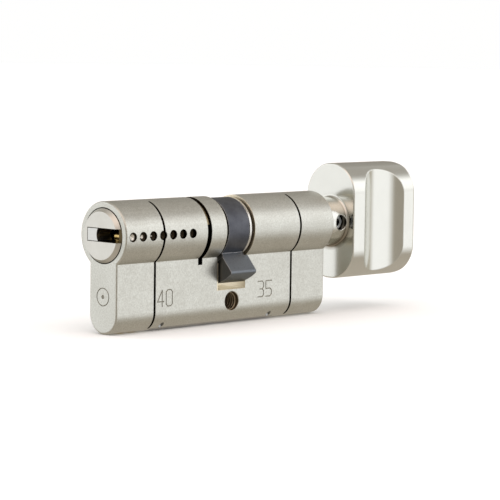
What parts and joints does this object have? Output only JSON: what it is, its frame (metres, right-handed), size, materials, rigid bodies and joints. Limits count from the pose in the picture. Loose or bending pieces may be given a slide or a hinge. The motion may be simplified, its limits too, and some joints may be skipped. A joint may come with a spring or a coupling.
{
  "type": "euro cylinder",
  "caption": "Euro profile lock cylinder with a flat keyway on one side, a thumb turn knob on the other, and a cam between them that turns all the way round.",
  "frame": {"origin": "centre of the M5 fixing hole, in the middle plane of the web", "axes": "+X along the plug axis from the key side to the thumb turn, +Z from the web up to the plug, -Y is the side with the closed side bores and the size numbers"},
  "size_m": [0.1092, 0.0181, 0.0402],
  "materials": {
    "nickel_plated_brass": "fine blasted brass, satin nickel plate",
    "satin_nickel_zinc": "zinc casting, smooth satin nickel plate",
    "sintered_steel": "steam-treated sintered steel, fine grain",
    "hardened_steel": "ground hardened steel",
    "machined_steel": "turned and nickel plated",
    "bright_steel": "bright ground steel",
    "spring_steel": "oiled spring steel",
    "raw_brass": "turned brass, not plated",
    "black_steel": "blackened steel"
  },
  "bodies": {
    "housing": {"cylinder_body": "nickel_plated_brass", "reinforcement_bar": "hardened_steel", "bar_cross_pins": "hardened_steel", "chamber_closers": "raw_brass", "side_bore_closers": "bright_steel", "plug_retaining_clip": "spring_steel", "spindle_retaining_pin": "hardened_steel", "driver_spring_1": "spring_steel", "driver_spring_2": "spring_steel", "driver_spring_3": "spring_steel", "driver_spring_4": "spring_steel", "driver_spring_5": "spring_steel"},
    "plug": {"key_plug": "nickel_plated_brass", "keyway_insert": "bright_steel"},
    "cam": {"cam": "sintered_steel", "cam_washer": "bright_steel"},
    "clutch": {"clutch": "hardened_steel"},
    "thumb_turn": {"thumb_spindle": "machined_steel", "thumb_knob": "satin_nickel_zinc", "knob_grub_screw": "black_steel"},
    "key_pin_body_1": {"key_pin_1": "raw_brass"},
    "driver_pin_body_1": {"driver_pin_1": "hardened_steel"},
    "key_pin_body_2": {"key_pin_2": "raw_brass"},
    "driver_pin_body_2": {"driver_pin_2": "hardened_steel"},
    "key_pin_body_3": {"key_pin_3": "raw_brass"},
    "driver_pin_body_3": {"driver_pin_3": "hardened_steel"},
    "key_pin_body_4": {"key_pin_4": "raw_brass"},
    "driver_pin_body_4": {"driver_pin_4": "hardened_steel"},
    "key_pin_body_5": {"key_pin_5": "raw_brass"},
    "driver_pin_body_5": {"driver_pin_5": "hardened_steel"},
    "side_pin_body_1": {"side_pin_1": "raw_brass"},
    "side_pin_body_2": {"side_pin_2": "raw_brass"},
    "side_pin_body_3": {"side_pin_3": "raw_brass"},
    "side_pin_body_4": {"side_pin_4": "raw_brass"},
    "side_pin_body_5": {"side_pin_5": "raw_brass"},
    "side_pin_body_6": {"side_pin_6": "raw_brass"},
    "side_pin_body_7": {"side_pin_7": "raw_brass"}
  },
  "joints": [
    {"name": "thumb_turn_spin", "type": "hinge", "parent": "housing", "child": "thumb_turn", "pos_m": [0.0351, 0, 0.0186], "axis": [1, 0, 0], "continuous": true},
    {"name": "cam_spin", "type": "hinge", "parent": "housing", "child": "cam", "pos_m": [0, 0, 0.0186], "axis": [1, 0, 0], "continuous": true},
    {"name": "plug_spin", "type": "hinge", "parent": "housing", "child": "plug", "pos_m": [-0.04, 0, 0.0186], "axis": [1, 0, 0], "continuous": true},
    {"name": "clutch_slide", "type": "slide", "parent": "plug", "child": "clutch", "axis": [1, 0, 0], "range_m": [0, 0.0018]},
    {"name": "driver_pin_1_slide", "type": "slide", "parent": "housing", "child": "driver_pin_body_1", "axis": [0, 0, 1], "range_m": [-0.0015, 0], "stiffness_N_per_m": 150, "springref_m": 0.003, "deforming": ["driver_spring_1"]},
    {"name": "key_pin_1_slide", "type": "slide", "parent": "plug", "child": "key_pin_body_1", "axis": [0, 0, 1], "range_m": [0, 0.0008]},
    {"name": "driver_pin_2_slide", "type": "slide", "parent": "housing", "child": "driver_pin_body_2", "axis": [0, 0, 1], "range_m": [-0.0015, 0], "stiffness_N_per_m": 150, "springref_m": 0.003, "deforming": ["driver_spring_2"]},
    {"name": "key_pin_2_slide", "type": "slide", "parent": "plug", "child": "key_pin_body_2", "axis": [0, 0, 1], "range_m": [0, 0.0008]},
    {"name": "driver_pin_3_slide", "type": "slide", "parent": "housing", "child": "driver_pin_body_3", "axis": [0, 0, 1], "range_m": [-0.0015, 0], "stiffness_N_per_m": 150, "springref_m": 0.003, "deforming": ["driver_spring_3"]},
    {"name": "key_pin_3_slide", "type": "slide", "parent": "plug", "child": "key_pin_body_3", "axis": [0, 0, 1], "range_m": [0, 0.0008]},
    {"name": "driver_pin_4_slide", "type": "slide", "parent": "housing", "child": "driver_pin_body_4", "axis": [0, 0, 1], "range_m": [-0.0015, 0], "stiffness_N_per_m": 150, "springref_m": 0.003, "deforming": ["driver_spring_4"]},
    {"name": "key_pin_4_slide", "type": "slide", "parent": "plug", "child": "key_pin_body_4", "axis": [0, 0, 1], "range_m": [0, 0.0008]},
    {"name": "driver_pin_5_slide", "type": "slide", "parent": "housing", "child": "driver_pin_body_5", "axis": [0, 0, 1], "range_m": [-0.0015, 0], "stiffness_N_per_m": 150, "springref_m": 0.003, "deforming": ["driver_spring_5"]},
    {"name": "key_pin_5_slide", "type": "slide", "parent": "plug", "child": "key_pin_body_5", "axis": [0, 0, 1], "range_m": [0, 0.0008]},
    {"name": "side_pin_1_slide", "type": "slide", "parent": "plug", "child": "side_pin_body_1", "axis": [0, 1, 0], "range_m": [0, 0.0006]},
    {"name": "side_pin_2_slide", "type": "slide", "parent": "plug", "child": "side_pin_body_2", "axis": [0, 1, 0], "range_m": [0, 0.0006]},
    {"name": "side_pin_3_slide", "type": "slide", "parent": "plug", "child": "side_pin_body_3", "axis": [0, 1, 0], "range_m": [0, 0.0006]},
    {"name": "side_pin_4_slide", "type": "slide", "parent": "plug", "child": "side_pin_body_4", "axis": [0, 1, 0], "range_m": [0, 0.0006]},
    {"name": "side_pin_5_slide", "type": "slide", "parent": "plug", "child": "side_pin_body_5", "axis": [0, 1, 0], "range_m": [0, 0.0006]},
    {"name": "side_pin_6_slide", "type": "slide", "parent": "plug", "child": "side_pin_body_6", "axis": [0, 1, 0], "range_m": [0, 0.0006]},
    {"name": "side_pin_7_slide", "type": "slide", "parent": "plug", "child": "side_pin_body_7", "axis": [0, 1, 0], "range_m": [0, 0.0006]}
  ],
  "couplings": [
    {"joint": "cam_spin", "follows": "thumb_turn_spin", "ratio": 1}
  ]
}
